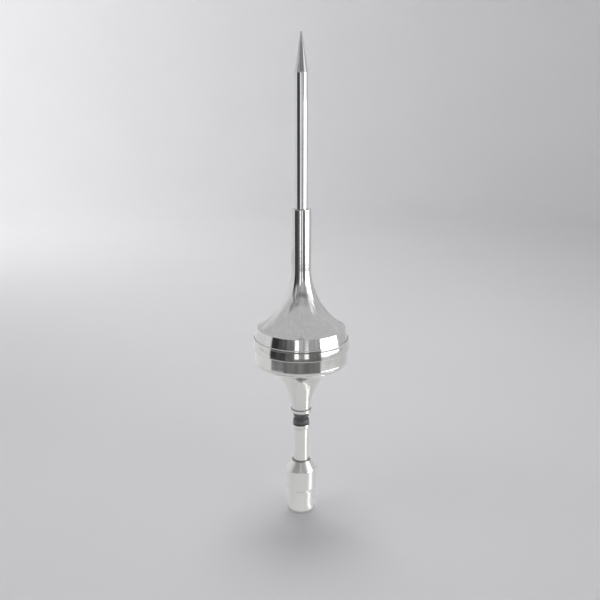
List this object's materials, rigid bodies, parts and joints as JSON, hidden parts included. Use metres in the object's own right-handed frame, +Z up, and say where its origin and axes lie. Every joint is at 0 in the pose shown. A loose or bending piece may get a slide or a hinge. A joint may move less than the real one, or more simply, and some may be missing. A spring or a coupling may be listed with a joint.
{
  "type": "lightning rod",
  "caption": "Polished steel lightning rod: a pointed rod on a bell-shaped head, over an insulator, a stem and a coupling that takes the mast.",
  "frame": {"origin": "centre of the coupling's mouth, in the plane of its lower rim, where the mast goes in", "axes": "+Z up along the axis that every piece is turned about; the part is round, so X and Y are free, and -Y faces the picture's camera"},
  "size_m": [0.1256, 0.1256, 0.624],
  "materials": {
    "rod_steel": "mirror polished stainless steel bar",
    "upper_shell_steel": "spun and polished stainless steel sheet",
    "lower_shell_steel": "spun and mirror polished stainless steel sheet",
    "washer_steel": "turned and polished stainless steel",
    "insulator_plastic": "turned dark grey plastic, slightly shiny",
    "stem_steel": "turned and polished stainless steel tube",
    "coupling_steel": "turned and polished stainless steel"
  },
  "bodies": {
    "root": {"rod": "rod_steel", "upper_shell": "upper_shell_steel", "lower_shell": "lower_shell_steel", "washer": "washer_steel", "insulator": "insulator_plastic", "stem": "stem_steel", "mast_coupling": "coupling_steel"}
  },
  "joints": []
}
